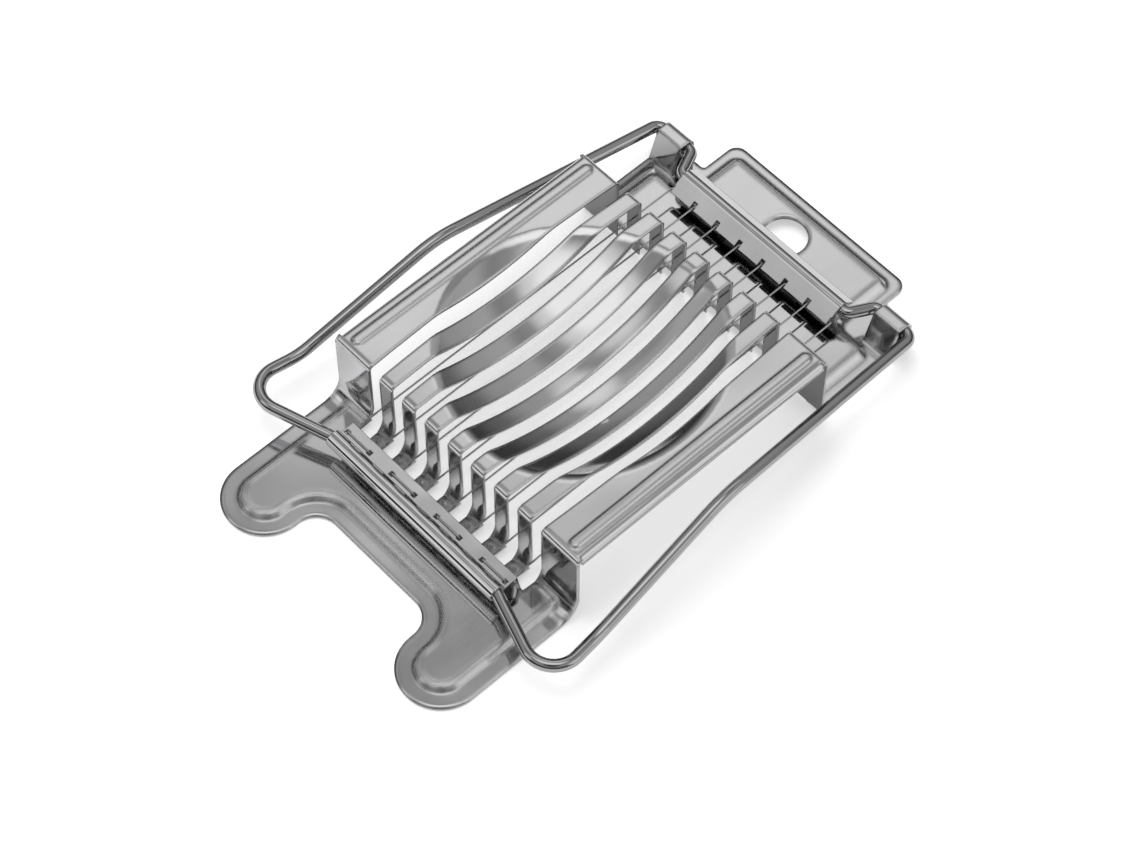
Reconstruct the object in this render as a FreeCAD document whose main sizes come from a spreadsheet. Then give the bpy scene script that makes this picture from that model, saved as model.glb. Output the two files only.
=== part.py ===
import FreeCAD, Part
import math
import os
import Sketcher
from FreeCAD import Vector

# Egg slicer: a base pressed from stainless sheet and a hinged frame strung with one cutting wire.
# Lengths are in millimetres. X runs across the slicer, Y from the feet to the hanging tab, Z up.
# The origin lies on the table, under the middle of the whole slicer.

SIZES = {
    # flat rim of the base
    "body_length": 132.2,
    "base_width": 67.0,
    "sheet": 0.5,
    "foot_width": 17.2,
    "foot_round": 8.5,
    "notch_depth": 14.2,
    "notch_round": 5.0,
    "tab_width": 47.8,
    "tab_round": 2.5,
    "tab_root_round": 0.8,
    "apron_rim": 3.3,
    "apron_rise": 1.0,
    "tab_rim": 2.2,
    "rear_rise": 1.9,
    "rear_panel_width": 60.4,
    "rear_panel_length": 16.5,
    "rear_panel_round": 2.0,
    "panel_slope_deg": 40.0,
    "hang_hole_radius": 4.6,
    "hang_hole_inset": 10.3,
    # raised cradle
    "front_wall_at": 34.5,
    "cradle_length": 64.2,
    "cradle_height": 18.5,
    "cove_round": 4.5,
    "top_round": 1.2,
    "rear_foot_round": 1.0,
    "rail_edge_round": 1.4,
    "side_lip": 2.0,
    "rail_bead_width": 2.4,
    "rail_bead_inset": 2.3,
    "rail_bead_margin": 1.5,
    "rail_bead_rise": 0.45,
    # hollow for the egg
    "hollow_depth": 7.6,
    "hollow_end_land": 4.1,
    "hollow_blunt_land": 6.5,
    "hollow_pointed_land": 5.0,
    "hollow_shift": 2.5,
    "hollow_rim_round": 4.0,
    # cutting wire and its slots
    "wire_count": 8,
    "wire_inset": 11.415,
    "wire_diameter": 0.4,
    "wire_kink": 0.3,
    "wire_height": 5.6,
    "wire_tail": 2.4,
    "wire_clearance": 0.03,
    "slot_width": 2.92,
    "slot_bow": 0.84,
    # hinge
    "rod_diameter": 2.55,
    "hinge_clearance": 0.05,
    "hinge_height": 6.0,
    "hinge_inset": 11.3,
    "loop_width": 6.6,
    "loop_depth": 6.1,
    "loop_roof": 2.0,
    # wire frame
    "front_bar_at": 24.2,
    "front_bar_height": 6.5,
    "corner_width": 87.4,
    "corner_at": 17.0,
    "corner_height": 7.5,
    "corner_bend": 5.5,
    "dip_width": 83.6,
    "dip_at": 31.7,
    "dip_height": 6.2,
    "dip_bend": 14.0,
    "hump_width": 79.5,
    "hump_at": 65.3,
    "hump_height": 14.65,
    "hump_bend": 22.0,
    "arm_side_gap": 0.5,
    "hinge_bend": 2.1,
    "tail_bend": 1.6,
    "tail_length": 12.0,
    "tail_lead": 1.2,
    # sheet carriers that hold the cutting wire
    "crimp_clearance": 0.02,
    "front_clip_overhang": 0.915,
    "flange_depth": 3.2,
    "lip_lean": 0.8,
    "lip_rest_gap": 0.1,
    "window_size": 1.0,
    "rear_carrier_trim": 0.285,
    "rear_carrier_at": 115.4,
    "rear_carrier_height": 6.5,
    "front_slope_deg": 35.0,
    "front_slope_length": 4.0,
    "rear_slope_deg": 40.0,
    "rear_slope_length": 2.6,
    "edge_notch_depth": 1.4,
}

TINY = 1e-4
VOLUME_TOLERANCE = 0.01
MITRED = 1
TURN_MARGIN = 10

doc = FreeCAD.newDocument("EggSlicer")
sheet = doc.addObject("Spreadsheet::Sheet", "Sizes")
for row, (alias, number) in enumerate(SIZES.items(), start=1):
    sheet.set(f"A{row}", alias)
    sheet.set(f"B{row}", str(number))
    sheet.setAlias(f"B{row}", alias)
doc.recompute()


class Size:
    """A number that knows its value and the formula that binds it to the sheet."""

    def __init__(self, value, formula):
        self.value = value
        self.formula = formula

    def __add__(self, other):
        other = as_size(other)
        return Size(self.value + other.value, f"({self.formula} + {other.formula})")

    def __sub__(self, other):
        other = as_size(other)
        return Size(self.value - other.value, f"({self.formula} - {other.formula})")

    def __mul__(self, other):
        other = as_size(other)
        return Size(self.value * other.value, f"({self.formula} * {other.formula})")

    def __truediv__(self, other):
        other = as_size(other)
        return Size(self.value / other.value, f"({self.formula} / {other.formula})")

    def __neg__(self):
        return Size(-self.value, f"(0 - {self.formula})")


def as_size(number):
    """A plain number as a Size."""
    if isinstance(number, Size):
        return number
    return Size(float(number), repr(float(number)))


def size(alias):
    """The sheet's value of that name."""
    return Size(float(sheet.get(alias)), f"Sizes.{alias}")


def sine(angle):
    return Size(math.sin(math.radians(angle.value)), f"sin({angle.formula} * 1 deg)")


def cosine(angle):
    return Size(math.cos(math.radians(angle.value)), f"cos({angle.formula} * 1 deg)")


# Places that several pieces share.
SHEET = size("sheet")
HALF_WIDTH = size("base_width") / 2
FRONT_TIP = -(size("body_length") / 2)
REAR_END = size("body_length") / 2
NOTCH_EDGE = FRONT_TIP + size("notch_depth")
FRONT_WALL = FRONT_TIP + size("front_wall_at")
REAR_WALL = FRONT_WALL + size("cradle_length")
CRADLE_TOP = size("cradle_height")
ROD_RADIUS = size("rod_diameter") / 2
LOOP_BORE = ROD_RADIUS + size("hinge_clearance")
LOOP_OUTER = LOOP_BORE + SHEET
HINGE_Y = REAR_END - size("hinge_inset")
HINGE_Z = size("hinge_height")
SHOULDER = HINGE_Y + LOOP_OUTER
BAR_Y = FRONT_TIP + size("front_bar_at")
BAR_Z = size("front_bar_height")
RIDGE_Y = FRONT_TIP + size("rear_carrier_at")
RIDGE_Z = size("rear_carrier_height")
CRIMP_INNER = ROD_RADIUS + size("crimp_clearance")
CRIMP_OUTER = CRIMP_INNER + SHEET
WIRE_RADIUS = size("wire_diameter") / 2
WIRE_COUNT = int(size("wire_count").value)
WIRE_SPAN = (HALF_WIDTH - size("wire_inset")) * 2
FRONT_CLIP = WIRE_SPAN + size("front_clip_overhang") * 2
REAR_CARRIER = WIRE_SPAN - size("rear_carrier_trim") * 2
WINDOW = size("window_size")
WINDOW_Y = BAR_Y + CRIMP_OUTER + WINDOW
FRONT_SLOPE = size("front_slope_deg")
REAR_SLOPE = size("rear_slope_deg")
CARRIER_EDGE_Y = RIDGE_Y - CRIMP_OUTER * sine(FRONT_SLOPE) - size("front_slope_length") * cosine(FRONT_SLOPE)
CARRIER_EDGE_Z = RIDGE_Z + CRIMP_OUTER * cosine(FRONT_SLOPE) - size("front_slope_length") * sine(FRONT_SLOPE)
NOTCH_END_Y = CARRIER_EDGE_Y + size("edge_notch_depth")


def wire_x(index):
    """X of one run of the cutting wire, counted from the left."""
    return WIRE_SPAN * ((index - (WIRE_COUNT - 1) / 2) / (WIRE_COUNT - 1))


# Helpers for sketches and features.

def new_body(label):
    body = doc.addObject("PartDesign::Body", label)
    body.Label = label
    return body


def bind(item, path, length):
    item.setExpression(path, length.formula)


def origin_feature(body, role):
    return next(item for item in body.Origin.OriginFeatures if item.Role == role)


def rounded(corners):
    """Corners (x, y, radius) of an outline along X and Y, turned into lines and quarter arcs."""
    result = []
    count = len(corners)
    for index, (x, y, radius) in enumerate(corners):
        if radius is None:
            result.append((x, y))
            continue
        before = corners[index - 1]
        after = corners[(index + 1) % count]
        reach_in = toward(x, y, before, radius)
        reach_out = toward(x, y, after, radius)
        turn = turn_side(before, corners[index], after)
        result.append(reach_in)
        result.append((reach_out[0], reach_out[1], radius, turn))
    return result


def toward(x, y, other, distance):
    """The point that lies some distance from (x, y) along the straight side to another corner."""
    across = other[0].value - x.value
    along = other[1].value - y.value
    if abs(across) > abs(along):
        return (x + distance * math.copysign(1, across), y)
    return (x, y + distance * math.copysign(1, along))


def turn_side(before, corner, after):
    """1 where an outline turns left at a corner, -1 where it turns right."""
    cross = ((corner[0].value - before[0].value) * (after[1].value - corner[1].value)
             - (corner[1].value - before[1].value) * (after[0].value - corner[0].value))
    return math.copysign(1, cross)


def arc_between(start, end, radius, turn):
    """The short arc from start to end, counter-clockwise where turn is 1."""
    chord = end - start
    left = Vector(-chord.y, chord.x, 0).normalize()
    rise = math.sqrt(max(radius ** 2 - (chord.Length / 2) ** 2, 0))
    centre = (start + end) * 0.5 + left * (turn * rise)
    first, last = (start, end) if turn > 0 else (end, start)
    angles = [math.atan2(point.y - centre.y, point.x - centre.x) for point in (first, last)]
    return Part.ArcOfCircle(Part.Circle(centre, Vector(0, 0, 1), radius), *angles)


def outline(body, name, role, loops, lift=None):
    """A sketch of closed loops. A corner is (x, y), or (x, y, radius, turn) at the end of an arc."""
    sketch = body.newObject("Sketcher::SketchObject", name)
    sketch.AttachmentSupport = [(origin_feature(body, role), "")]
    sketch.MapMode = "FlatFace"
    if lift is not None:
        bind(sketch, "AttachmentOffset.Base.z", lift)
    for corners in loops:
        draw_loop(sketch, corners)
    return sketch


def draw_loop(sketch, corners):
    """Draw one closed loop and tie each corner and each radius to the sheet."""
    points = [Vector(corner[0].value, corner[1].value, 0) for corner in corners]
    curves = []
    for index, corner in enumerate(corners):
        start = points[index - 1]
        end = points[index]
        if len(corner) == 2:
            number = sketch.addGeometry(Part.LineSegment(start, end))
            curves.append((number, 1, 2))
            continue
        radius, turn = corner[2:]
        number = sketch.addGeometry(arc_between(start, end, radius.value, turn))
        curves.append((number, 1, 2) if turn > 0 else (number, 2, 1))
    for index, corner in enumerate(corners):
        number, _, last = curves[index]
        following, first, _ = curves[(index + 1) % len(corners)]
        sketch.addConstraint(Sketcher.Constraint("Coincident", number, last, following, first))
        for kind, place in (("DistanceX", corner[0]), ("DistanceY", corner[1])):
            datum = Sketcher.Constraint(kind, -1, 1, number, last, place.value)
            bind(sketch, f"Constraints[{sketch.addConstraint(datum)}]", place)
        if len(corner) == 4:
            datum = Sketcher.Constraint("Radius", number, corner[2].value)
            bind(sketch, f"Constraints[{sketch.addConstraint(datum)}]", corner[2])


def box_loop(x_low, x_high, y_low, y_high):
    return [(x_low, y_low), (x_high, y_low), (x_high, y_high), (x_low, y_high)]


def add_feature(body, kind, name, sketch, length, reverse=False, symmetric=False, slope=None):
    """A pad or a pocket of that length."""
    feature = body.newObject(f"PartDesign::{kind}", name)
    feature.Profile = sketch
    bind(feature, "Length", length)
    feature.Reversed = reverse
    if symmetric:
        feature.SideType = "Symmetric"
    if slope is not None:
        bind(feature, "TaperAngle", slope)
    return feature


def turned(body, kind, name, sketch, axis, angle):
    """A revolution or a groove, half of the angle to each side of its sketch."""
    feature = body.newObject(f"PartDesign::{kind}", name)
    feature.Profile = sketch
    feature.ReferenceAxis = (sketch, [axis])
    feature.Angle = angle
    feature.Midplane = True
    return feature


def mirrored(body, name, originals):
    feature = body.newObject("PartDesign::Mirrored", name)
    feature.Originals = originals
    feature.MirrorPlane = (origin_feature(body, "YZ_Plane"), [""])
    body.Tip = feature
    return feature


def row_of(body, name, original):
    """A row of copies along X, one for each run of the cutting wire."""
    feature = body.newObject("PartDesign::LinearPattern", name)
    feature.Originals = [original]
    feature.Direction = (origin_feature(body, "X_Axis"), [""])
    bind(feature, "Length", WIRE_SPAN)
    bind(feature, "Occurrences", size("wire_count"))
    body.Tip = feature
    return feature


def rod_along(points, bends, radius):
    """A round rod along straight runs, joined by tangent arcs of the given bend radii."""
    ring = Part.makeCircle(radius, points[0], points[1] - points[0])
    faces = [Part.Face(Part.Wire([ring]))]
    length = 0
    start = points[0]
    for before, corner, after, bend in zip(points, points[1:], points[2:], bends):
        back = (before - corner).normalize()
        ahead = (after - corner).normalize()
        half = back.getAngle(ahead) / 2
        run = corner + back * (bend / math.tan(half)) - start
        centre = corner + (back + ahead).normalize() * (bend / math.sin(half))
        axis = ahead.cross(back)
        turn = math.pi - 2 * half
        faces.append(ring.extrude(run))
        ring = ring.translated(run)
        faces.append(ring.revolve(centre, axis, math.degrees(turn)))
        ring = ring.rotated(centre, axis, math.degrees(turn))
        length += run.Length + bend * turn
        start = corner + ahead * (bend / math.tan(half))
    run = points[-1] - start
    faces.append(ring.extrude(run))
    faces.append(Part.Face(Part.Wire([ring.translated(run)])))
    shell = Part.makeShell(faces)
    shell.sewShape()
    return filled(Part.makeSolid(shell), radius, length + run.Length)


def strand_along(points, kink, radius):
    """A thin wire along straight runs, bent in two short steps at each corner."""
    path = [points[0]]
    for before, corner, after in zip(points, points[1:], points[2:]):
        path.append(corner + (before - corner).normalize() * kink)
        path.append(corner + (after - corner).normalize() * kink)
    path.append(points[-1])
    wire = Part.makePolygon(path)
    ring = Part.Wire([Part.makeCircle(radius, path[0], path[1] - path[0])])
    return filled(wire.makePipeShell([ring], True, False, MITRED), radius, wire.Length)


def filled(rod, radius, length):
    """The rod, turned right side out, once its volume agrees with its section times its length."""
    expected = math.pi * radius ** 2 * length
    if abs(abs(rod.Volume) / expected - 1) > VOLUME_TOLERANCE:
        raise RuntimeError("a rod's volume differs from its section times its length")
    return rod if rod.Volume > 0 else rod.reversed()


def add_shape(label, shape):
    feature = doc.addObject("Part::Feature", label)
    feature.Label = label
    feature.Shape = shape
    feature.Placement = FreeCAD.Placement()
    return feature


# The base: sheet bent up into the cradle, with its rim, feet, tab, embossed panels and hinge loops.

def bent_section():
    """Side view of the bent sheet: apron, front wall, cradle top, rear wall and rear floor."""
    cove = size("cove_round")
    top = size("top_round")
    foot = size("rear_foot_round")
    inside = CRADLE_TOP - SHEET
    zero = as_size(0)
    return [
        (FRONT_TIP, SHEET),
        (FRONT_WALL - cove, SHEET),
        (FRONT_WALL, SHEET + cove, cove, 1),
        (FRONT_WALL, CRADLE_TOP - top),
        (FRONT_WALL + top, CRADLE_TOP, top, -1),
        (REAR_WALL - top, CRADLE_TOP),
        (REAR_WALL, CRADLE_TOP - top, top, -1),
        (REAR_WALL, SHEET + foot),
        (REAR_WALL + foot, SHEET, foot, 1),
        (REAR_END, SHEET),
        (REAR_END, zero),
        (REAR_WALL + foot, zero),
        (REAR_WALL - SHEET, SHEET + foot, foot + SHEET, -1),
        (REAR_WALL - SHEET, CRADLE_TOP - top),
        (REAR_WALL - top, inside, top - SHEET, 1),
        (FRONT_WALL + top, inside),
        (FRONT_WALL + SHEET, CRADLE_TOP - top, top - SHEET, 1),
        (FRONT_WALL + SHEET, SHEET + cove),
        (FRONT_WALL - cove, zero, cove + SHEET, -1),
        (FRONT_TIP, zero),
    ]


def blank_outline():
    """Plan of the base: two round feet, the notch between them, the shoulders and the tab."""
    inner_foot = HALF_WIDTH - size("foot_width")
    half_tab = size("tab_width") / 2
    foot = size("foot_round")
    notch = size("notch_round")
    tab = size("tab_round")
    root = size("tab_root_round")
    right = [
        (inner_foot, NOTCH_EDGE, notch),
        (inner_foot, FRONT_TIP, foot),
        (HALF_WIDTH, FRONT_TIP, foot),
        (HALF_WIDTH, SHOULDER, None),
        (half_tab, SHOULDER, root),
        (half_tab, REAR_END, tab),
    ]
    left = [(-x, y, radius) for x, y, radius in reversed(right)]
    return rounded(right + left)


def apron_outline(inset):
    """Plan of the raised apron panel, which follows the feet and the notch and runs into the cove."""
    rim = size("apron_rim") + inset
    inner_foot = HALF_WIDTH - size("foot_width") + rim
    outer_foot = HALF_WIDTH - rim
    tip = FRONT_TIP + rim
    foot = size("foot_round") - rim
    rear = FRONT_WALL + SHEET / 2 + inset
    right = [
        (inner_foot, NOTCH_EDGE + rim, size("notch_round") + rim),
        (inner_foot, tip, foot),
        (outer_foot, tip, foot),
        (outer_foot, rear, None),
    ]
    left = [(-x, y, radius) for x, y, radius in reversed(right)]
    return rounded(right + left)


def rear_outline(inset):
    """Plan of the raised rear panel, from the rear wall to the end of the tab."""
    half = size("rear_panel_width") / 2 - inset
    half_tab = size("tab_width") / 2 - size("tab_rim") - inset
    front = REAR_WALL - SHEET / 2 - inset
    step = REAR_WALL + size("rear_panel_length") - inset
    end = REAR_END - size("tab_rim") - inset
    corner = size("rear_panel_round")
    right = [
        (half, front, None),
        (half, step, corner),
        (half_tab, step, corner),
        (half_tab, end, corner),
    ]
    left = [(-x, y, radius) for x, y, radius in reversed(right)]
    return rounded(right + left)


def emboss(body, name, plan, rise):
    """Raise a panel of the sheet: the same plan, one sheet smaller, is pressed up from below."""
    slope = -size("panel_slope_deg")
    upper = outline(body, f"{name}Plan", "XY_Plane", [plan(as_size(0))], SHEET)
    add_feature(body, "Pad", f"{name}Raised", upper, rise, slope=slope)
    lower = outline(body, f"{name}PlanBelow", "XY_Plane", [plan(SHEET)])
    add_feature(body, "Pocket", f"{name}PressedUp", lower, rise, reverse=True, slope=slope)


def hollow_profile(extra):
    """Half of an egg's side view, blunt end towards +X, seen along Y and grown by some thickness."""
    depth = size("hollow_depth")
    shift = size("hollow_shift")
    bottom = CRADLE_TOP - depth - extra
    reaches = (HALF_WIDTH - size("hollow_blunt_land") - shift, HALF_WIDTH - size("hollow_pointed_land") + shift)
    blunt, pointed = ((reach * reach + depth * depth) / (depth * 2) + extra for reach in reaches)
    return shift, bottom, blunt, pointed


def hollow_loop(extra, rim):
    """The hollow's side view, closed by a flat lid at the height of its rim."""
    shift, bottom, blunt, pointed = hollow_profile(extra)
    fall = rim - bottom
    right = shift + root(blunt * blunt - (blunt - fall) * (blunt - fall))
    left = shift - root(pointed * pointed - (pointed - fall) * (pointed - fall))
    return [(left, rim), (shift, bottom, pointed, 1), (right, rim, blunt, 1)]


def root(length):
    return Size(math.sqrt(length.value), f"sqrt({length.formula})")


def press_hollow(body):
    """Press the egg hollow into the cradle's top: a turned bowl, trimmed flat and cut from above."""
    depth = size("hollow_depth")
    half = size("cradle_length") / 2 - size("hollow_end_land")
    turn_radius = (half * half + depth * depth) / (depth * 2)
    axis_height = CRADLE_TOP - depth + turn_radius
    middle = -((FRONT_WALL + REAR_WALL) / 2)
    span = 2 * math.degrees(math.asin(half.value / turn_radius.value)) + TURN_MARGIN

    bowl = outline(body, "HollowBelow", "XZ_Plane", [hollow_loop(SHEET, CRADLE_TOP - SHEET / 2)], middle)
    turned(body, "Revolution", "Bowl", bowl, add_axis(bowl, axis_height), span)
    lid = outline(body, "AboveCradle", "XY_Plane",
                  [box_loop(-HALF_WIDTH, HALF_WIDTH, FRONT_TIP, REAR_END)], CRADLE_TOP)
    add_feature(body, "Pocket", "TrimBowl", lid, CRADLE_TOP, reverse=True)
    hollow = outline(body, "Hollow", "XZ_Plane", [hollow_loop(as_size(0), CRADLE_TOP + depth)], middle)
    turned(body, "Groove", "EggHollow", hollow, add_axis(hollow, axis_height), span)


def round_rim(body, name, height, radius):
    """Round the hollow's rim, on each rib and rail, where it meets the cradle's top at that height."""
    doc.recompute()
    before = body.Tip
    edges = []
    for number, edge in enumerate(before.Shape.Edges, start=1):
        box = edge.BoundBox
        level = max(abs(box.ZMin - height.value), abs(box.ZMax - height.value)) < TINY
        if level and edge.Curve.TypeId == "Part::GeomBSplineCurve":
            edges.append(f"Edge{number}")
    feature = body.newObject("PartDesign::Fillet", name)
    feature.Base = (before, edges)
    bind(feature, "Radius", radius)


def add_axis(sketch, height):
    """A level construction line in the sketch, to turn about."""
    line = sketch.addGeometry(Part.LineSegment(Vector(-1, height.value, 0), Vector(1, height.value, 0)), True)
    sketch.addConstraint(Sketcher.Constraint("Horizontal", line))
    for kind, end, place in (("DistanceX", 1, -1), ("DistanceX", 2, 1)):
        sketch.addConstraint(Sketcher.Constraint(kind, -1, 1, line, end, place))
    datum = Sketcher.Constraint("DistanceY", -1, 1, line, 1, height.value)
    bind(sketch, f"Constraints[{sketch.addConstraint(datum)}]", height)
    return "Axis0"


def slot_loop(index):
    """Plan of one slot for the cutting wire. The slots bow outwards where the hollow spreads the ribs."""
    half = size("slot_width") / 2
    x = wire_x(index)
    front = FRONT_WALL - size("cove_round")
    rear = REAR_WALL + size("rear_foot_round")
    share = (index - (WIRE_COUNT - 1) / 2) / ((WIRE_COUNT - 1) / 2)
    corners = box_loop(x - half, x + half, front, rear)
    if abs(share) < TINY:
        return corners
    side = math.copysign(1, share)
    bow = size("slot_bow") * abs(share)
    chord = (rear - front) / 2
    radius = (chord * chord + bow * bow) / (bow * 2)
    corners[0] = corners[0] + (radius, -side)
    corners[2] = corners[2] + (radius, side)
    return corners


def bead_loop(inset):
    """Plan of the long stiffening bead along one rail, with round ends."""
    half = size("rail_bead_width") / 2 - inset
    outer = HALF_WIDTH - size("rail_bead_inset") - inset
    inner = outer - half * 2
    front = FRONT_WALL + size("rail_bead_margin") + inset
    rear = REAR_WALL - size("rail_bead_margin") - inset
    middle = (inner + outer) / 2
    return [
        (inner, front + half),
        (middle, front, half, 1),
        (outer, front + half, half, 1),
        (outer, rear - half),
        (middle, rear, half, 1),
        (inner, rear - half, half, 1),
    ]


def loop_section():
    """Side view of a hinge loop: a strap from the rear edge, over the rod and down in front of it."""
    roof = HINGE_Z + LOOP_OUTER
    ceiling = HINGE_Z + LOOP_BORE
    zero = as_size(0)
    front = HINGE_Y - size("loop_roof")
    foot = SHOULDER - size("loop_depth")
    return [
        (SHOULDER, zero),
        (SHOULDER, HINGE_Z),
        (HINGE_Y, roof, LOOP_OUTER, 1),
        (front, roof),
        (foot, SHEET),
        (foot, zero),
        (foot + SHEET, zero),
        (foot + SHEET, SHEET),
        (front + SHEET / 2, ceiling),
        (HINGE_Y, ceiling),
        (HINGE_Y + LOOP_BORE, HINGE_Z, LOOP_BORE, -1),
        (HINGE_Y + LOOP_BORE, zero),
    ]


def make_base():
    body = new_body("base")
    section = outline(body, "BentSheet", "YZ_Plane", [bent_section()])
    add_feature(body, "Pad", "Sheet", section, size("base_width"), symmetric=True)
    surround = box_loop(-size("base_width"), size("base_width"), -size("body_length"), size("body_length"))
    trim = outline(body, "Blank", "XY_Plane", [surround, blank_outline()])
    add_feature(body, "Pocket", "TrimToBlank", trim, CRADLE_TOP * 2, reverse=True, symmetric=True)
    emboss(body, "Apron", apron_outline, size("apron_rise"))
    emboss(body, "Rear", rear_outline, size("rear_rise"))
    add_side_lips(body)
    press_hollow(body)
    add_beads(body)
    slots = outline(body, "Slots", "XY_Plane", [slot_loop(index) for index in range(WIRE_COUNT)], CRADLE_TOP)
    add_feature(body, "Pocket", "WireSlots", slots, CRADLE_TOP)
    round_rim(body, "RimBelow", CRADLE_TOP - SHEET, size("hollow_rim_round") + SHEET)
    round_rim(body, "RimAbove", CRADLE_TOP, size("hollow_rim_round"))
    add_loops(body)
    hole = outline(body, "HangHole", "XY_Plane", [hole_loop()])
    add_feature(body, "Pocket", "HangingHole", hole, CRADLE_TOP, reverse=True)
    return body


def lip_section():
    """Front view of a rail's edge, turned down over a round bend."""
    bend = size("rail_edge_round")
    low = CRADLE_TOP - size("side_lip")
    inner = HALF_WIDTH - SHEET
    return [
        (HALF_WIDTH - bend, CRADLE_TOP),
        (HALF_WIDTH, CRADLE_TOP - bend, bend, -1),
        (HALF_WIDTH, low),
        (inner, low),
        (inner, CRADLE_TOP - bend),
        (HALF_WIDTH - bend, CRADLE_TOP - SHEET, bend - SHEET, 1),
    ]


def add_side_lips(body):
    """Cut the rails' outer edges back between the walls and turn them down."""
    front = FRONT_WALL + size("top_round")
    rear = REAR_WALL - size("top_round")
    strip = box_loop(HALF_WIDTH - size("rail_edge_round"), HALF_WIDTH, front, rear)
    cut = outline(body, "RailEdge", "XY_Plane", [strip], CRADLE_TOP)
    edge = add_feature(body, "Pocket", "RightEdgeCut", cut, SHEET)
    mirrored(body, "BothEdgesCut", [edge])
    section = outline(body, "SideLip", "XZ_Plane", [lip_section()], -rear)
    lip = add_feature(body, "Pad", "RightLip", section, rear - front)
    mirrored(body, "BothLips", [lip])


def add_beads(body):
    """Raise a long bead along each rail."""
    rise = size("rail_bead_rise")
    slope = -size("panel_slope_deg")
    upper = outline(body, "BeadPlan", "XY_Plane", [bead_loop(as_size(0))], CRADLE_TOP)
    raised = add_feature(body, "Pad", "RightBead", upper, rise, slope=slope)
    mirrored(body, "BothBeads", [raised])
    lower = outline(body, "BeadPlanBelow", "XY_Plane", [bead_loop(SHEET)], CRADLE_TOP - SHEET)
    pressed = add_feature(body, "Pocket", "RightBeadPressedUp", lower, rise, reverse=True, slope=slope)
    mirrored(body, "BothBeadsPressedUp", [pressed])


def add_loops(body):
    """Bend a strap of the rear edge over the frame's rod on each side."""
    strap = outline(body, "LoopSection", "YZ_Plane", [loop_section()], HALF_WIDTH - size("loop_width"))
    loop = add_feature(body, "Pad", "RightLoop", strap, size("loop_width"))
    mirrored(body, "BothLoops", [loop])


def hole_loop():
    """Round outline of the hole that the slicer hangs by, as four quarter arcs."""
    radius = size("hang_hole_radius")
    middle = REAR_END - size("hang_hole_inset")
    zero = as_size(0)
    return [
        (radius, middle, radius, 1),
        (zero, middle + radius, radius, 1),
        (-radius, middle, radius, 1),
        (zero, middle - radius, radius, 1),
    ]


# The frame: a bent rod, a sheet clip on its front bar, a sheet ridge at the hinge and the wire.

def make_rod():
    """The rod: a front bar with two bowed shoulders, humped arms, hinge pins and two crimped tails."""
    pin_end = HALF_WIDTH - size("loop_width") - size("hinge_clearance")
    arm_x = HALF_WIDTH + size("arm_side_gap") + ROD_RADIUS
    bar_end = FRONT_CLIP / 2
    ridge_end = REAR_CARRIER / 2
    turn_in = ridge_end + size("tail_lead")
    right = [
        (turn_in - size("tail_length"), RIDGE_Y, RIDGE_Z),
        (turn_in, RIDGE_Y, RIDGE_Z),
        (pin_end - size("tail_lead"), HINGE_Y, HINGE_Z),
        (arm_x, HINGE_Y, HINGE_Z),
        (size("hump_width") / 2, FRONT_TIP + size("hump_at"), size("hump_height")),
        (size("dip_width") / 2, FRONT_TIP + size("dip_at"), size("dip_height")),
        (size("corner_width") / 2, FRONT_TIP + size("corner_at"), size("corner_height")),
        (bar_end, BAR_Y, BAR_Z),
    ]
    left = [(-x, y, z) for x, y, z in reversed(right)]
    names = ["tail_bend", "tail_bend", "hinge_bend", "hump_bend", "dip_bend", "corner_bend", "corner_bend"]
    bends = [size(name).value for name in names]
    points = [Vector(x.value, y.value, z.value) for x, y, z in right + left]
    return add_shape("frame_rod", rod_along(points, bends + bends[::-1], ROD_RADIUS.value))


def clip_section():
    """Side view of the front clip: rolled round the front bar, with a flange and a turned-down lip."""
    zero_side = BAR_Y + CRIMP_OUTER
    flange_end = zero_side + size("flange_depth")
    rest = SHEET + size("apron_rise") + size("lip_rest_gap")
    lip_end = flange_end + size("lip_lean")
    return [
        (zero_side, BAR_Z),
        (BAR_Y, BAR_Z + CRIMP_OUTER, CRIMP_OUTER, 1),
        (BAR_Y - CRIMP_OUTER, BAR_Z, CRIMP_OUTER, 1),
        (BAR_Y, BAR_Z - CRIMP_OUTER, CRIMP_OUTER, 1),
        (BAR_Y, BAR_Z - CRIMP_INNER),
        (BAR_Y - CRIMP_INNER, BAR_Z, CRIMP_INNER, -1),
        (BAR_Y, BAR_Z + CRIMP_INNER, CRIMP_INNER, -1),
        (BAR_Y + CRIMP_INNER, BAR_Z, CRIMP_INNER, -1),
        (BAR_Y + CRIMP_INNER, BAR_Z - SHEET),
        (flange_end - SHEET, BAR_Z - SHEET),
        (lip_end - SHEET, rest),
        (lip_end, rest),
        (flange_end, BAR_Z),
    ]


def make_front_carrier():
    """Sheet clip on the front bar, with a window for each wire and a lip notched to let it through."""
    body = new_body("front_wire_carrier")
    section = outline(body, "ClipSection", "YZ_Plane", [clip_section()])
    add_feature(body, "Pad", "Clip", section, FRONT_CLIP, symmetric=True)
    half = WINDOW / 2
    first = wire_x(0)
    window = outline(body, "Window", "XY_Plane",
                     [box_loop(first - half, first + half, WINDOW_Y - half, WINDOW_Y + half)], BAR_Z)
    row_of(body, "Windows", add_feature(body, "Pocket", "FirstWindow", window, SHEET * 2))
    flange_end = BAR_Y + CRIMP_OUTER + size("flange_depth")
    gap = outline(body, "LipGap", "XZ_Plane",
                  [box_loop(first - half, first + half, as_size(0), BAR_Z - SHEET)], -(flange_end - SHEET * 2))
    row_of(body, "LipGaps", add_feature(body, "Pocket", "FirstLipGap", gap, SHEET * 4 + size("lip_lean")))
    return body


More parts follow.
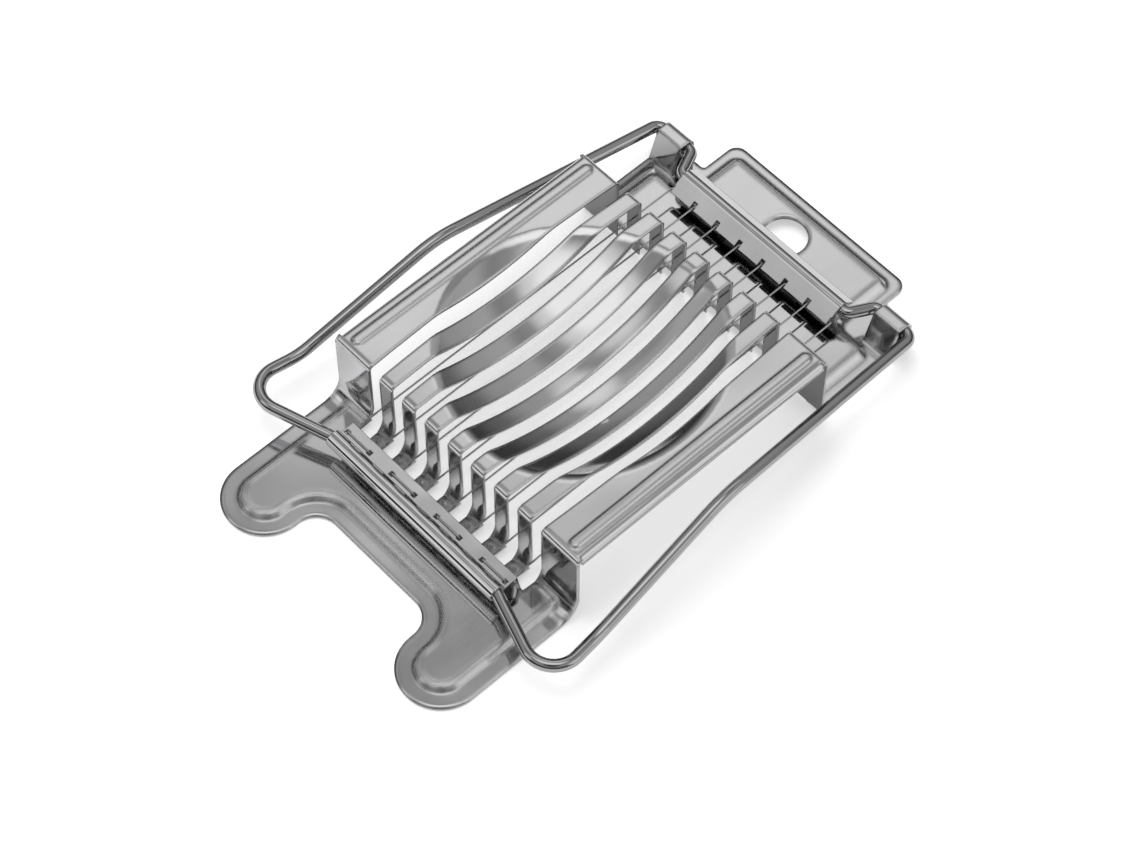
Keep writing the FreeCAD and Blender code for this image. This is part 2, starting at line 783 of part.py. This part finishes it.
def ridge_section():
    """Side view of the rear carrier: a round ridge over the rod's tails with a slope to each side."""
    front_normal = (-sine(FRONT_SLOPE), cosine(FRONT_SLOPE))
    rear_normal = (sine(REAR_SLOPE), cosine(REAR_SLOPE))
    front_run = size("front_slope_length")
    rear_run = size("rear_slope_length")

    def on_ridge(normal, radius):
        return RIDGE_Y + normal[0] * radius, RIDGE_Z + normal[1] * radius

    def at_edge(normal, radius, run, side):
        start = on_ridge(normal, radius)
        return start[0] + normal[1] * run * side, start[1] - normal[0] * run * side

    return [
        on_ridge(rear_normal, CRIMP_OUTER),
        on_ridge(front_normal, CRIMP_OUTER) + (CRIMP_OUTER, 1),
        at_edge(front_normal, CRIMP_OUTER, front_run, -1),
        at_edge(front_normal, CRIMP_INNER, front_run, -1),
        on_ridge(front_normal, CRIMP_INNER),
        on_ridge(rear_normal, CRIMP_INNER) + (CRIMP_INNER, -1),
        at_edge(rear_normal, CRIMP_INNER, rear_run, 1),
        at_edge(rear_normal, CRIMP_OUTER, rear_run, 1),
    ]


def make_rear_carrier():
    """Ridged sheet strip crimped over the rod's tails, notched along its front edge for the wire."""
    body = new_body("rear_wire_carrier")
    section = outline(body, "RidgeSection", "YZ_Plane", [ridge_section()])
    add_feature(body, "Pad", "Ridge", section, REAR_CARRIER, symmetric=True)
    half = WINDOW / 2
    first = wire_x(0)
    notch = outline(body, "EdgeNotch", "XY_Plane",
                    [box_loop(first - half, first + half, CARRIER_EDGE_Y - SHEET, NOTCH_END_Y)],
                    RIDGE_Z + CRIMP_OUTER)
    row_of(body, "EdgeNotches", add_feature(body, "Pocket", "FirstEdgeNotch", notch, RIDGE_Z))
    return body


def make_wire():
    """The cutting wire: one strand to and fro, over the front flange and behind the rear carrier's teeth."""
    lift = WIRE_RADIUS + size("wire_clearance")
    front_top = BAR_Z + lift
    wire_z = size("wire_height")
    slope_top = wire_z + (SHEET + lift) / cosine(FRONT_SLOPE)
    rear_y = CARRIER_EDGE_Y + (slope_top - CARRIER_EDGE_Z) * cosine(FRONT_SLOPE) / sine(FRONT_SLOPE)
    route = [(wire_x(0) + size("wire_tail"), rear_y, wire_z)]
    for index in range(WIRE_COUNT):
        x = wire_x(index)
        run = [(x, rear_y, wire_z), (x, WINDOW_Y, wire_z), (x, WINDOW_Y, front_top)]
        route += run if index % 2 == 0 else run[::-1]
    route.append((wire_x(WIRE_COUNT - 1) - size("wire_tail"), *route[-1][1:]))
    points = [Vector(x.value, y.value, z.value) for x, y, z in route]
    return add_shape("cutting_wire", strand_along(points, size("wire_kink").value, WIRE_RADIUS.value))


pieces = [make_base(), make_rod(), make_front_carrier(), make_rear_carrier(), make_wire()]
doc.recompute()

for item in doc.Objects:
    if "Invalid" in item.State or "Error" in item.State:
        raise RuntimeError(f"{item.Label} failed: {item.State}")
for piece in pieces:
    if piece.Shape.isNull() or not piece.Shape.isValid():
        raise RuntimeError(f"{piece.Label} has no valid shape")
    if len(piece.Shape.Solids) != 1:
        raise RuntimeError(f"{piece.Label} is not one solid")

os.makedirs("parts", exist_ok=True)
for piece in pieces:
    piece.Shape.exportStep(f"parts/{piece.Label}.step")
    print(piece.Label, round(piece.Shape.Volume, 2), "mm3")
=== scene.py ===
import math

import bpy
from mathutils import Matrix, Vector


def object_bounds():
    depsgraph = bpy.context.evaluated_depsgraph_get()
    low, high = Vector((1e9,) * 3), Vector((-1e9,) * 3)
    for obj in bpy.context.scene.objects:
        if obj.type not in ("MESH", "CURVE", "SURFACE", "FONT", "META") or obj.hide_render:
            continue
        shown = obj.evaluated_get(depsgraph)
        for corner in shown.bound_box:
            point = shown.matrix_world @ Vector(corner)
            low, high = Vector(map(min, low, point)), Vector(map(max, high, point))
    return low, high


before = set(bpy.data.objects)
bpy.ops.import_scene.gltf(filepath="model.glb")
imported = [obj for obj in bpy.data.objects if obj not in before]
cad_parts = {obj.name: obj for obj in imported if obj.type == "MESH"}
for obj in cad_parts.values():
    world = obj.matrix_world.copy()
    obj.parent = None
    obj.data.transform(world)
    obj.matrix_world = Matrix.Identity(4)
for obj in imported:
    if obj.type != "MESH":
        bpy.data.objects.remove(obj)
CAD_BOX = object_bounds()
FRONT_END = CAD_BOX[0].y

bl_info = {
    "name": "Egg slicer looks",
    "version": (1, 0, 0),
    "blender": (4, 5, 0),
    "location": "View3D > Sidebar > Slicer",
    "description": "Polished steel finishes, fine wire and a pale studio for a hinged egg slicer",
    "category": "Object",
}

WHITE = (1.0, 1.0, 1.0, 1.0)

# Surface of each stock: slow waves and drawn grain in features per metre, and how the grain is drawn out.
SHEET_SURFACE = {"wave_scale": 30.0, "grain_scale": 300.0, "grain_draw": (1.0, 0.12, 1.0)}
ROD_SURFACE = {"wave_scale": 80.0, "grain_scale": 500.0, "grain_draw": (1.0, 0.2, 1.0)}
CARRIER_SURFACE = {"wave_scale": 90.0, "grain_scale": 400.0, "grain_draw": (0.12, 1.0, 1.0)}
WIRE_SURFACE = {"wave_scale": 200.0, "grain_scale": 900.0, "grain_draw": (1.0, 0.08, 1.0)}

# The smaller stock takes a share of the pressed sheet's waves and edge radius, and drawn wire is rougher.
SMALL_SHARE = 1 / 4
WIRE_SHARE = 1 / 8
WIRE_ROUGHER = 3

# Worn patches: their noise, the values between which they fade out, and how bright they stay.
WEAR_NOISE = {"scale": 60.0, "detail": 4.0, "roughness": 0.6}
WEAR_FADE = (0.3, 0.7)
WORN_SHADE = 0.93

# Wear times grain, from the best polish to full haze.
HAZE_FADE = (0.15, 0.4)

# Noise of the waves and of the grain, and the relief of the grain.
WAVE_NOISE = {"detail": 1.0, "roughness": 0.5}
GRAIN_NOISE = {"detail": 3.0, "roughness": 0.7}
GRAIN_DEPTH = 0.00002
GRAIN_STRENGTH = 0.05

# Share of the full edge radius by height above the table, up to SOFT_TOP.
SOFT_TOP = 0.010
EDGE_SOFTNESS = ((0.0005, 0.65), (0.0008, 0.90), (0.0016, 0.90), (0.0020, 0.80), (0.0030, 0.75), (0.0060, 0.45))
EDGE_SAMPLES = 8

# A face is on the inner side of its sheet where it looks towards a point below the table; shade is painted on
# those faces, fading in over INNER_FADE.
INNER_POINT = (0.0, 0.0, -0.1)
INNER_FADE = (-0.012, -0.024)

# Back of the front carrier's roll round the bar. Painted shade on the carriers starts behind it, so the roll
# round the bar keeps its polished colour all round.
ROLL_BACK = -0.0402

# Brightness of the tent by the height of the direction, from the horizon (0) to straight up (1).
TENT_STOPS = ((0.0, 0.04), (0.2, 0.05), (0.4, 0.15), (0.6, 0.38), (0.8, 0.46), (0.87, 0.28), (0.91, 0.34),
              (0.95, 0.85), (0.98, 1.2), (1.0, 1.2))

# Patches of the tent's wall: direction, outer and inner angle of the soft edge in degrees, and brightness.
TENT_PATCHES = (
    ((-0.46, 0.44, 0.77), 13, 3, 0.90),    # light panel behind, high at the left
    ((0.39, -0.37, 0.84), 20, 9, 0.05),    # dark opening for the camera
    ((-0.39, -0.49, 0.78), 11, 5, 0.78),   # light panel high in front, for the rear carrier
    ((-0.39, -0.77, 0.50), 15, 6, 1.10),   # light panel in front
    ((-0.25, -0.95, 0.20), 24, 11, 0.03),  # dark wall low in front
    ((0.83, 0.36, 0.38), 26, 12, 0.95),    # light panel at the right
)

FLOOR_RADIUS = 3.0
FLOOR_SIDES = 64
FLOOR_DROP = 0.0001
SENSOR_WIDTH = 36.0
NEAR_CLIP = 0.01


class SlicerFinish(bpy.types.PropertyGroup):
    """Colours, polish and painted shade of the slicer's steel."""

    sheet_tint: bpy.props.FloatVectorProperty(
        name="Sheet tint", description="Colour of the pressed stainless sheet",
        subtype="COLOR", size=3, min=0.0, max=1.0, default=(0.70, 0.70, 0.705))
    rod_tint: bpy.props.FloatVectorProperty(
        name="Rod tint", description="Colour of the frame's polished rod",
        subtype="COLOR", size=3, min=0.0, max=1.0, default=(0.48, 0.48, 0.485))
    wire_tint: bpy.props.FloatVectorProperty(
        name="Wire tint", description="Colour of the drawn cutting wire",
        subtype="COLOR", size=3, min=0.0, max=1.0, default=(0.55, 0.55, 0.56))
    polish: bpy.props.FloatProperty(
        name="Polish", description="Roughness of the best polished places",
        subtype="FACTOR", min=0.0, max=1.0, default=0.06)
    haze: bpy.props.FloatProperty(
        name="Haze", description="Extra roughness where fine wear dulls the polish",
        subtype="FACTOR", min=0.0, max=1.0, default=0.08)
    edge_round: bpy.props.FloatProperty(
        name="Edge round", description="Full radius that the pressed sheet's edges look rounded by",
        subtype="DISTANCE", unit="LENGTH", min=0.0, max=0.01, default=0.0020)
    waviness: bpy.props.FloatProperty(
        name="Waviness", description="Depth of the slow waves that pressing leaves in the sheet",
        subtype="DISTANCE", unit="LENGTH", min=0.0, max=0.001, default=0.0005)
    # Painted shade: how bright the base's inner faces are painted, as a share of the sheet tint.
    base_painted_shade: bpy.props.FloatProperty(
        name="Base inner side", description="How bright the dull inner side of the base is",
        subtype="FACTOR", min=0.0, max=1.0, default=0.4)
    # Painted shade: how bright the carriers' inner faces behind ROLL_BACK are painted, as a share of the sheet
    # tint.
    carrier_painted_shade: bpy.props.FloatProperty(
        name="Carrier inner side", description="How bright the dull inner side of the carriers is",
        subtype="FACTOR", min=0.0, max=1.0, default=0.12)


class SlicerStage(bpy.types.PropertyGroup):
    """Camera, floor and light."""

    camera_place: bpy.props.FloatVectorProperty(
        name="Camera place", description="Where the camera stands",
        subtype="TRANSLATION", unit="LENGTH", size=3, default=(0.24200, -0.22804, 0.51691))
    camera_turn: bpy.props.FloatVectorProperty(
        name="Camera turn", description="How the camera is turned",
        subtype="EULER", unit="ROTATION", size=3,
        default=(math.radians(32.335), math.radians(-0.069), math.radians(47.102)))
    camera_lens: bpy.props.FloatProperty(
        name="Lens", description="Focal length in millimetres", min=10.0, max=300.0, default=100.97)
    floor_tint: bpy.props.FloatVectorProperty(
        name="Floor tint", description="Colour of the floor",
        subtype="COLOR", size=3, min=0.0, max=1.0, default=(0.86, 0.86, 0.87))
    floor_glow: bpy.props.FloatProperty(
        name="Floor glow", description="How far the floor is lifted towards white where it is seen directly",
        subtype="FACTOR", min=0.0, max=1.0, default=0.48)
    mirror_glow: bpy.props.FloatProperty(
        name="Mirror glow", description="How far the floor is lifted towards white where the steel mirrors it",
        subtype="FACTOR", min=0.0, max=1.0, default=0.18)
    lamp_place: bpy.props.FloatVectorProperty(
        name="Lamp place", description="Where the large soft lamp hangs, aimed at the slicer",
        subtype="TRANSLATION", unit="LENGTH", size=3, default=(-0.38, 0.10, 0.80))
    lamp_width: bpy.props.FloatProperty(
        name="Lamp width", description="Diameter of the lamp",
        subtype="DISTANCE", unit="LENGTH", min=0.01, max=5.0, default=0.9)
    lamp_power: bpy.props.FloatProperty(
        name="Lamp power", description="Power of the lamp",
        subtype="POWER", unit="POWER", min=0.0, max=1000.0, default=4.2)


def new_material(name):
    """A material with an empty node tree, and that tree."""
    material = bpy.data.materials.new(name)
    material.use_nodes = True
    material.node_tree.nodes.clear()
    return material, material.node_tree


def add_node(tree, kind, inputs=None, **settings):
    """A node with its settings. Each input, by name or number, takes a value or another node's output."""
    node = tree.nodes.new(kind)
    for setting, value in settings.items():
        setattr(node, setting, value)
    for socket, value in (inputs or {}).items():
        if isinstance(value, bpy.types.NodeSocket):
            tree.links.new(value, node.inputs[socket])
        else:
            node.inputs[socket].default_value = value
    return node


def noise(tree, vector, scale, detail, roughness):
    """Noise of so many features per metre."""
    inputs = {"Vector": vector, "Scale": scale, "Detail": detail, "Roughness": roughness}
    return add_node(tree, "ShaderNodeTexNoise", inputs).outputs["Fac"]


def remap(tree, value, start, end, low=0.0, high=1.0, **settings):
    """A value moved from the range start to end into the range low to high."""
    inputs = {"Value": value, "From Min": start, "From Max": end, "To Min": low, "To Max": high}
    return add_node(tree, "ShaderNodeMapRange", inputs, **settings).outputs["Result"]


def maths(tree, operation, *values):
    """The result of one sum on values or other nodes' outputs."""
    return add_node(tree, "ShaderNodeMath", dict(enumerate(values)), operation=operation).outputs["Value"]


def mix(tree, factor, first, second):
    """A blend of two colours."""
    inputs = {"Factor": factor, "A": first, "B": second}
    return add_node(tree, "ShaderNodeMix", inputs, data_type="RGBA").outputs["Result"]


def parts_of(tree, vector):
    """The X, Y and Z of a vector."""
    return add_node(tree, "ShaderNodeSeparateXYZ", {"Vector": vector}).outputs


def set_stops(ramp, stops):
    """Put grey stops, each a position and a brightness, on a colour ramp."""
    while len(ramp.elements) < len(stops):
        ramp.elements.new(1.0)
    for element, (position, grey) in zip(ramp.elements, stops):
        element.position = position
        element.color = (grey, grey, grey, 1.0)


def shaded(tint, share):
    """A tint at a share of its brightness, as a node's colour."""
    return (*[channel * share for channel in tint], 1.0)


def painted_shade_mask(tree, place, start):
    """A mask of the faces on the sheet's inner side, behind a place along the slicer, where shade is painted.
    """
    outward = add_node(tree, "ShaderNodeVectorMath", {0: place["Object"], 1: INNER_POINT},
                       operation="SUBTRACT").outputs["Vector"]
    facing = add_node(tree, "ShaderNodeVectorMath", {0: place["Normal"], 1: outward},
                      operation="DOT_PRODUCT").outputs["Value"]
    behind = maths(tree, "GREATER_THAN", parts_of(tree, place["Object"])["Y"], start)
    return maths(tree, "MULTIPLY", remap(tree, facing, *INNER_FADE), behind)


def soft_edges(tree, place, edge_round):
    """The normal with edges that look rounded, most of all on the low embossed panels."""
    level = remap(tree, parts_of(tree, place["Object"])["Z"], 0.0, SOFT_TOP)
    softness = add_node(tree, "ShaderNodeValToRGB", {"Fac": level})
    set_stops(softness.color_ramp, [(height / SOFT_TOP, share) for height, share in EDGE_SOFTNESS])
    radius = maths(tree, "MULTIPLY", softness.outputs["Color"], edge_round)
    return add_node(tree, "ShaderNodeBevel", {"Radius": radius}, samples=EDGE_SAMPLES).outputs["Normal"]


def relief(tree, normal, height, depth, strength=1.0):
    """A normal with a height pattern added to it."""
    inputs = {"Normal": normal, "Height": height, "Distance": depth, "Strength": strength}
    return add_node(tree, "ShaderNodeBump", inputs).outputs["Normal"]


def steel(name, tint, finish, surface, share=1.0, rougher=1, painted_shade=None, shade_from=FRONT_END):
    """Polished steel with rounded edges, slow waves, fine drawn grain and patches of dulled polish, and painted
    shade on the inner side when a share is given.
    """
    material, tree = new_material(name)
    place = add_node(tree, "ShaderNodeTexCoord").outputs
    wear = noise(tree, place["Object"], **WEAR_NOISE)
    drawn = add_node(tree, "ShaderNodeMapping", {"Vector": place["Object"], "Scale": surface["grain_draw"]})
    grain = noise(tree, drawn.outputs["Vector"], surface["grain_scale"], **GRAIN_NOISE)
    waves = noise(tree, place["Object"], surface["wave_scale"], **WAVE_NOISE)

    colour = mix(tree, remap(tree, wear, *WEAR_FADE), shaded(tint, WORN_SHADE), shaded(tint, 1.0))
    # Painted shade: faces on the sheet's inner side get a darker copy of the tint.
    if painted_shade is not None:
        colour = mix(tree, painted_shade_mask(tree, place, shade_from), colour, shaded(tint, painted_shade))
    polish = finish.polish * rougher
    roughness = remap(tree, maths(tree, "MULTIPLY", wear, grain), *HAZE_FADE, polish, polish + finish.haze)
    normal = soft_edges(tree, place, finish.edge_round * share)
    normal = relief(tree, normal, waves, finish.waviness * share)
    normal = relief(tree, normal, grain, GRAIN_DEPTH, GRAIN_STRENGTH)

    metal = add_node(tree, "ShaderNodeBsdfPrincipled", {
        "Metallic": 1.0, "Base Color": colour, "Roughness": roughness, "Normal": normal})
    add_node(tree, "ShaderNodeOutputMaterial", {"Surface": metal.outputs["BSDF"]})
    return material


def dress(node, material):
    """Give one CAD node its finish."""
    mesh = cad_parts[node].data
    mesh.materials.clear()
    mesh.materials.append(material)


class SLICER_OT_finish_base(bpy.types.Operator):
    """Polish the pressed base and paint shade on its inner side."""

    bl_idname = "slicer.finish_base"
    bl_label = "Finish base"

    def execute(self, context):
        finish = context.scene.slicer_finish
        dress("base", steel("polished_sheet", finish.sheet_tint, finish, SHEET_SURFACE,
                            painted_shade=finish.base_painted_shade))
        return {"FINISHED"}


class SLICER_OT_finish_rod(bpy.types.Operator):
    """Polish the frame's bent rod."""

    bl_idname = "slicer.finish_rod"
    bl_label = "Finish rod"

    def execute(self, context):
        finish = context.scene.slicer_finish
        dress("frame_rod", steel("polished_rod", finish.rod_tint, finish, ROD_SURFACE, SMALL_SHARE))
        return {"FINISHED"}


class SLICER_OT_finish_carriers(bpy.types.Operator):
    """Polish the two sheet carriers that hold the wire and paint shade on their inner side."""

    bl_idname = "slicer.finish_carriers"
    bl_label = "Finish carriers"

    def execute(self, context):
        finish = context.scene.slicer_finish
        carrier = steel("carrier_sheet", finish.sheet_tint, finish, CARRIER_SURFACE, SMALL_SHARE,
                        painted_shade=finish.carrier_painted_shade, shade_from=ROLL_BACK)
        dress("front_wire_carrier", carrier)
        dress("rear_wire_carrier", carrier)
        return {"FINISHED"}


class SLICER_OT_finish_wire(bpy.types.Operator):
    """Give the cutting wire its drawn surface."""

    bl_idname = "slicer.finish_wire"
    bl_label = "Finish wire"

    def execute(self, context):
        finish = context.scene.slicer_finish
        dress("cutting_wire", steel("drawn_wire", finish.wire_tint, finish, WIRE_SURFACE, WIRE_SHARE,
                                    WIRE_ROUGHER))
        return {"FINISHED"}


class SLICER_OT_stage(bpy.types.Operator):
    """Set the floor, the light and the camera."""

    bl_idname = "slicer.stage"
    bl_label = "Set the stage"

    def execute(self, context):
        settings = context.scene.slicer_stage
        lay_floor(settings)
        hang_lamp(settings)
        pitch_tent(context.scene)
        place_camera(context.scene, settings)
        context.scene.view_settings.view_transform = "Standard"
        return {"FINISHED"}


def lay_floor(settings):
    """A wide pale floor that keeps the slicer's shadow and is lifted towards white."""
    bpy.ops.object.select_all(action="DESELECT")
    bpy.ops.mesh.primitive_circle_add(
        vertices=FLOOR_SIDES, radius=FLOOR_RADIUS, fill_type="NGON", location=(0.0, 0.0, -FLOOR_DROP))
    floor = bpy.context.object
    floor.name = "floor"
    material, tree = new_material("pale_floor")
    ray = add_node(tree, "ShaderNodeLightPath").outputs
    seen = maths(tree, "MAXIMUM", ray["Is Camera Ray"], ray["Is Transmission Ray"])
    direct = maths(tree, "MULTIPLY", seen, settings.floor_glow)
    lift = maths(tree, "MULTIPLY_ADD", ray["Is Glossy Ray"], settings.mirror_glow, direct)
    matt = add_node(tree, "ShaderNodeBsdfDiffuse", {"Color": (*settings.floor_tint, 1.0)})
    glow = add_node(tree, "ShaderNodeEmission", {"Color": WHITE, "Strength": lift})
    both = add_node(tree, "ShaderNodeAddShader", {0: matt.outputs["BSDF"], 1: glow.outputs["Emission"]})
    add_node(tree, "ShaderNodeOutputMaterial", {"Surface": both.outputs["Shader"]})
    floor.data.materials.append(material)


def hang_lamp(settings):
    """One large soft lamp that lights the floor, and that the steel doesn't mirror."""
    bpy.ops.object.light_add(type="AREA", location=settings.lamp_place)
    lamp = bpy.context.object
    lamp.name = "key_lamp"
    lamp.data.shape = "DISK"
    lamp.data.size = settings.lamp_width
    lamp.data.energy = settings.lamp_power
    lamp.visible_glossy = False
    lamp.rotation_euler = (-lamp.location).to_track_quat("-Z", "Y").to_euler()


def pitch_tent(scene):
    """A tent with a grey ceiling, light panels and dark places, which the steel mirrors."""
    world = bpy.data.worlds.new("tent")
    world.use_nodes = True
    scene.world = world
    tree = world.node_tree
    tree.nodes.clear()
    direction = add_node(tree, "ShaderNodeTexCoord").outputs["Generated"]
    ceiling = add_node(tree, "ShaderNodeValToRGB", {"Fac": parts_of(tree, direction)["Z"]})
    ceiling.color_ramp.interpolation = "EASE"
    set_stops(ceiling.color_ramp, TENT_STOPS)
    tent = ceiling.outputs["Color"]
    for toward, outer, inner, grey in TENT_PATCHES:
        facing = add_node(tree, "ShaderNodeVectorMath", {0: direction, 1: Vector(toward).normalized()},
                          operation="DOT_PRODUCT").outputs["Value"]
        inside = remap(tree, facing, math.cos(math.radians(outer)), math.cos(math.radians(inner)),
                       interpolation_type="SMOOTHSTEP")
        tent = mix(tree, inside, tent, (grey, grey, grey, 1.0))
    backdrop = add_node(tree, "ShaderNodeBackground", {"Color": tent, "Strength": 1.0})
    add_node(tree, "ShaderNodeOutputWorld", {"Surface": backdrop.outputs["Background"]})


def place_camera(scene, settings):
    """The camera above the front right corner."""
    bpy.ops.object.camera_add(location=settings.camera_place, rotation=settings.camera_turn)
    camera = bpy.context.object
    camera.name = "camera"
    camera.data.sensor_fit = "HORIZONTAL"
    camera.data.sensor_width = SENSOR_WIDTH
    camera.data.lens = settings.camera_lens
    camera.data.clip_start = NEAR_CLIP
    scene.camera = camera


class SLICER_PT_panel(bpy.types.Panel):
    """Lists the steps that dress the slicer."""

    bl_idname = "SLICER_PT_panel"
    bl_label = "Egg slicer"
    bl_space_type = "VIEW_3D"
    bl_region_type = "UI"
    bl_category = "Slicer"

    def draw(self, context):
        for step in STEPS:
            self.layout.operator(step.bl_idname)


STEPS = (SLICER_OT_finish_base, SLICER_OT_finish_rod, SLICER_OT_finish_carriers, SLICER_OT_finish_wire,
         SLICER_OT_stage)
CLASSES = (SlicerFinish, SlicerStage, *STEPS, SLICER_PT_panel)


def register():
    """Register the classes and hang their settings on the scene."""
    for item in CLASSES:
        bpy.utils.register_class(item)
    bpy.types.Scene.slicer_finish = bpy.props.PointerProperty(type=SlicerFinish)
    bpy.types.Scene.slicer_stage = bpy.props.PointerProperty(type=SlicerStage)


def unregister():
    """Take the settings and the classes away again."""
    del bpy.types.Scene.slicer_stage
    del bpy.types.Scene.slicer_finish
    for item in reversed(CLASSES):
        bpy.utils.unregister_class(item)


def main():
    """Dress the slicer and set the stage."""
    register()
    bpy.ops.slicer.finish_base()
    bpy.ops.slicer.finish_rod()
    bpy.ops.slicer.finish_carriers()
    bpy.ops.slicer.finish_wire()
    bpy.ops.slicer.stage()


if __name__ == "__main__":
    main()
